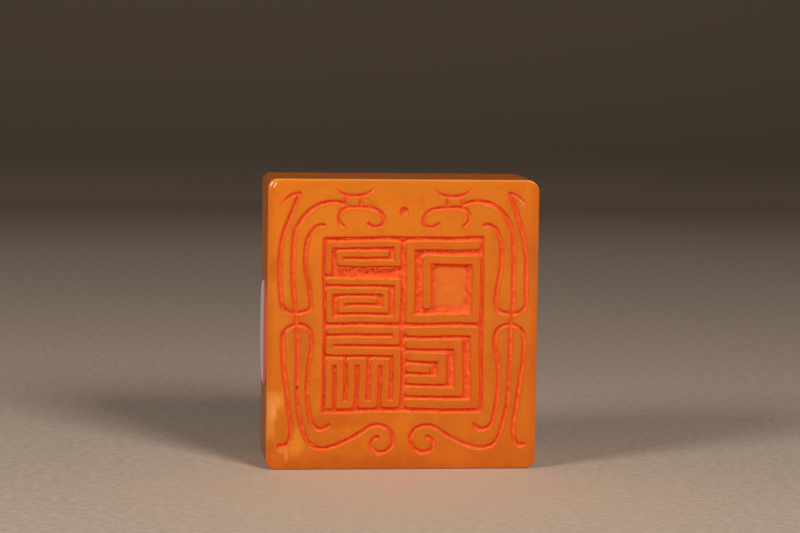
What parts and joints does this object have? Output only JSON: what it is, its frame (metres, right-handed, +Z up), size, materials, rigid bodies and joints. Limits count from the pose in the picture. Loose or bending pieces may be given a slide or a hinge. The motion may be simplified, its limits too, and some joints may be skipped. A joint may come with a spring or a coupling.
{
  "type": "seal stamp",
  "caption": "Flat square stone seal stamp on its side: the end is carved with a dragon border round a sunken fret panel, with red seal paste in the carving and a small blank label.",
  "frame": {"origin": "on the surface that the seal stands on, under the middle of its overall box", "axes": "+Z up, through the two short sides as pictured; -Y out of the carved printing face; +X to the right for someone who looks at that face"},
  "size_m": [0.0342, 0.013, 0.0365],
  "materials": {
    "seal_stone": "honey-orange waxy carving stone, faintly translucent and clouded, polished to a soft shine",
    "seal_paste": "dried vermilion seal paste, matte and grainy, caught in the carving",
    "label_paper": "thin matte paper, blank, with a red field along its front part"
  },
  "bodies": {
    "root": {"stone_block": "seal_stone", "left_dragon_paste": "seal_paste", "right_dragon_paste": "seal_paste", "pearl_paste": "seal_paste", "panel_paste": "seal_paste", "side_label": "label_paper"}
  },
  "joints": []
}
